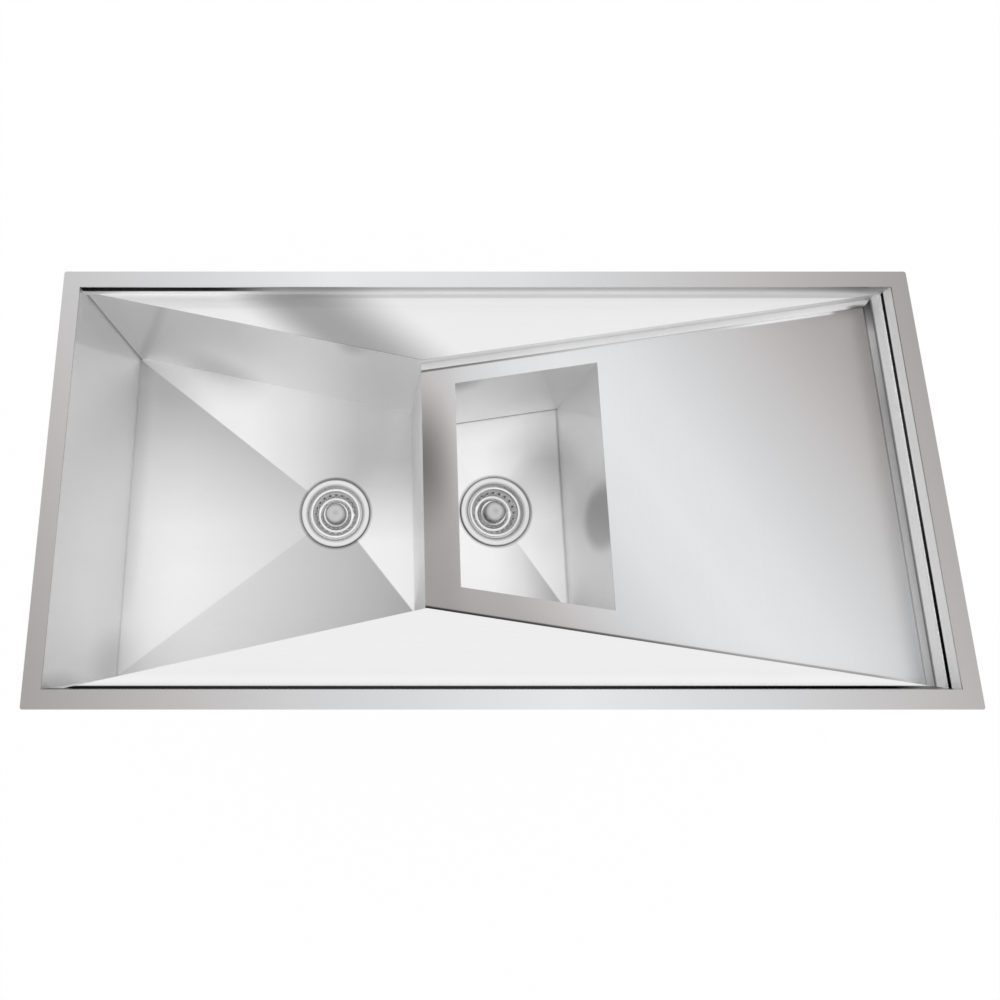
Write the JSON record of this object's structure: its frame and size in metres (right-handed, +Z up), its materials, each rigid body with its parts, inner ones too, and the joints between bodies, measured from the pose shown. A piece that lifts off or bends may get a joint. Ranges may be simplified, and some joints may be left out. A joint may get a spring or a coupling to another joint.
{
  "type": "kitchen sink",
  "caption": "Rectangular stainless sink with a tapered main bowl, a small prep bowl in a lowered drainer deck, triangular wings and lift-out basket strainers.",
  "frame": {"origin": "centre of the rim's top face, where the sink meets the worktop", "axes": "+X right along the rim's long side towards the drainer, +Y to the back, +Z up out of the bowls"},
  "size_m": [1.105, 0.55, 0.399],
  "materials": {
    "brushed_steel": "fine linear brushed grain",
    "polished_steel": "bright, semi-polished",
    "black_rubber": "matt",
    "grey_rubber": "matt",
    "white_plastic": "moulded",
    "fibre_card": "pressed fibre"
  },
  "bodies": {
    "sink": {"back_wing": "brushed_steel", "deck_back_ledge": "brushed_steel", "deck_front_upstand": "brushed_steel", "deck_plate": "brushed_steel", "deck_right_ledge": "brushed_steel", "deck_stiffener_1": "brushed_steel", "deck_stiffener_2": "brushed_steel", "front_wing": "brushed_steel", "main_back_pad": "grey_rubber", "main_back_wall": "brushed_steel", "main_coupling_nut": "white_plastic", "main_fibre_ring": "fibre_card", "main_flange_gasket": "black_rubber", "main_floor": "brushed_steel", "main_floor_back_pad": "grey_rubber", "main_floor_front_pad": "grey_rubber", "main_floor_left_pad": "grey_rubber", "main_front_pad": "grey_rubber", "main_front_wall": "brushed_steel", "main_left_pad": "grey_rubber", "main_left_wall": "brushed_steel", "main_locknut": "white_plastic", "main_right_wall": "brushed_steel", "main_strainer": "polished_steel", "main_tail_washer": "white_plastic", "main_tailpiece": "white_plastic", "main_washer": "black_rubber", "prep_back_wall": "brushed_steel", "prep_coupling_nut": "white_plastic", "prep_fibre_ring": "fibre_card", "prep_flange_gasket": "black_rubber", "prep_floor": "brushed_steel", "prep_front_wall": "brushed_steel", "prep_left_wall": "brushed_steel", "prep_locknut": "white_plastic", "prep_right_pad": "grey_rubber", "prep_right_wall": "brushed_steel", "prep_strainer": "polished_steel", "prep_tail_washer": "white_plastic", "prep_tailpiece": "white_plastic", "prep_washer": "black_rubber", "rim_back_wall": "brushed_steel", "rim_flange": "brushed_steel", "rim_front_wall": "brushed_steel", "rim_right_wall": "brushed_steel"},
    "main_basket": {"main_basket": "polished_steel"},
    "main_stopper": {"main_stopper": "polished_steel", "main_stopper_seal": "black_rubber"},
    "prep_basket": {"prep_basket": "polished_steel"},
    "prep_stopper": {"prep_stopper": "polished_steel", "prep_stopper_seal": "black_rubber"}
  },
  "joints": [
    {"name": "main_basket_lift", "type": "slide", "parent": "sink", "child": "main_basket", "axis": [0, 0, 1], "range_m": [0, 0.1]},
    {"name": "main_stopper_raise", "type": "slide", "parent": "main_basket", "child": "main_stopper", "axis": [0, 0, 1], "range_m": [0, 0.009]},
    {"name": "prep_basket_lift", "type": "slide", "parent": "sink", "child": "prep_basket", "axis": [0, 0, 1], "range_m": [0, 0.1]},
    {"name": "prep_stopper_raise", "type": "slide", "parent": "prep_basket", "child": "prep_stopper", "axis": [0, 0, 1], "range_m": [0, 0.009]}
  ]
}
